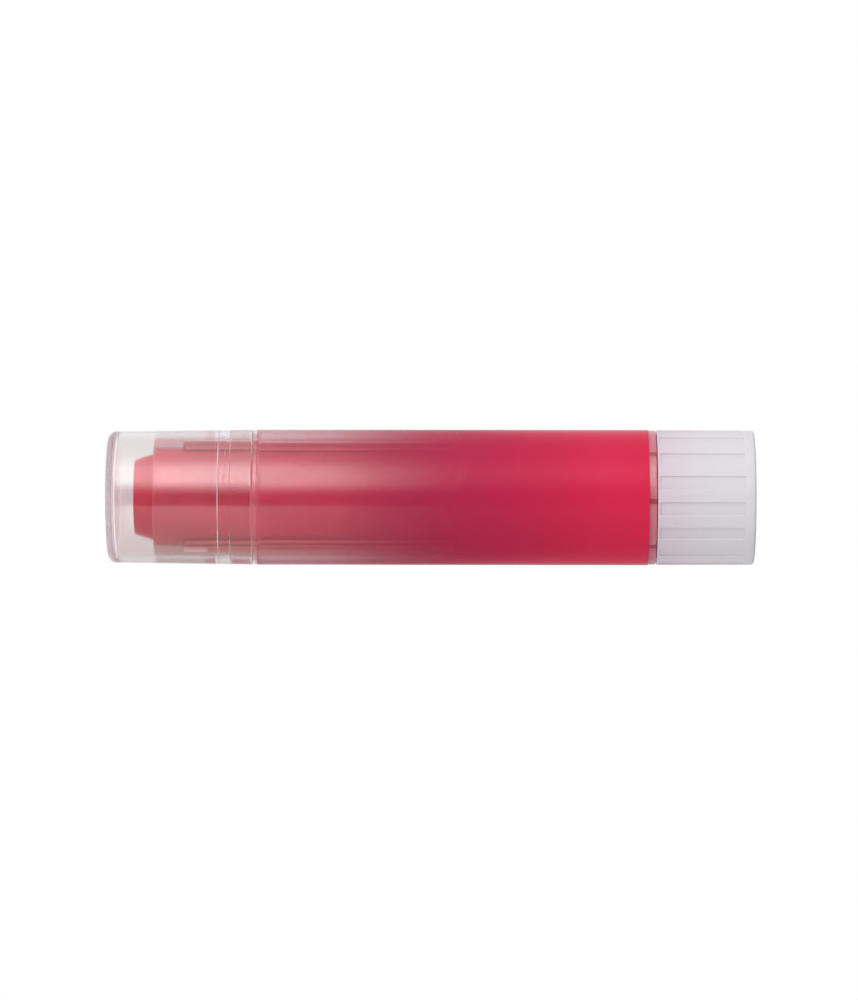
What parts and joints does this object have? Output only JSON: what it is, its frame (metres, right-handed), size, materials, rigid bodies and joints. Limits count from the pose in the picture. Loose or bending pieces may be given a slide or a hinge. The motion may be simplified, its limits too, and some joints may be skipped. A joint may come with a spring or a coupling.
{
  "type": "pigment art stick",
  "caption": "Twist-up pigment art stick: clear snap cap over a clear neck, labelled double-walled barrel, cast pigment in a carrier, and a fluted knob on a threaded spindle.",
  "frame": {"origin": "centre of the knob's flat base, which the stick stands on", "axes": "+Z along the stick's axis from the knob to the cap; -Y towards the side that faces the viewer; +X to that viewer's right when the stick stands, which is the upper side in the picture"},
  "size_m": [0.019, 0.019, 0.0908],
  "materials": {
    "clear_plastic": "clear styrene with a faint mauve tint, polished",
    "barrel_plastic": "clear, polished, with fine mould lines",
    "label_film": "printed film, clear pink-grey at the cap end fading to opaque strong pink at the knob end",
    "pigment": "waxy, smooth, slightly translucent red",
    "frosted_plastic": "translucent natural polypropylene, satin",
    "white_plastic": "natural polypropylene, satin"
  },
  "bodies": {
    "barrel": {"guide_tube": "barrel_plastic", "outer_sleeve": "barrel_plastic", "label": "label_film"},
    "twist": {"knob": "frosted_plastic", "spindle": "white_plastic"},
    "stick": {"carrier": "white_plastic", "pigment_stick": "pigment"},
    "cap": {"cap": "clear_plastic"}
  },
  "joints": [
    {"name": "stick_rise", "type": "slide", "parent": "barrel", "child": "stick", "axis": [0, 0, 1], "range_m": [0, 0.065]},
    {"name": "knob_turn", "type": "hinge", "parent": "barrel", "child": "twist", "pos_m": [0, 0, 0.00685], "axis": [0, 0, 1], "range_deg": [0, 4680]},
    {"name": "cap_pull", "type": "slide", "parent": "stick", "child": "cap", "axis": [0, 0, 1], "range_m": [0, 0.025]}
  ],
  "couplings": [
    {"joint": "knob_turn", "follows": "stick_rise", "rad_per_m": 1256.6}
  ]
}
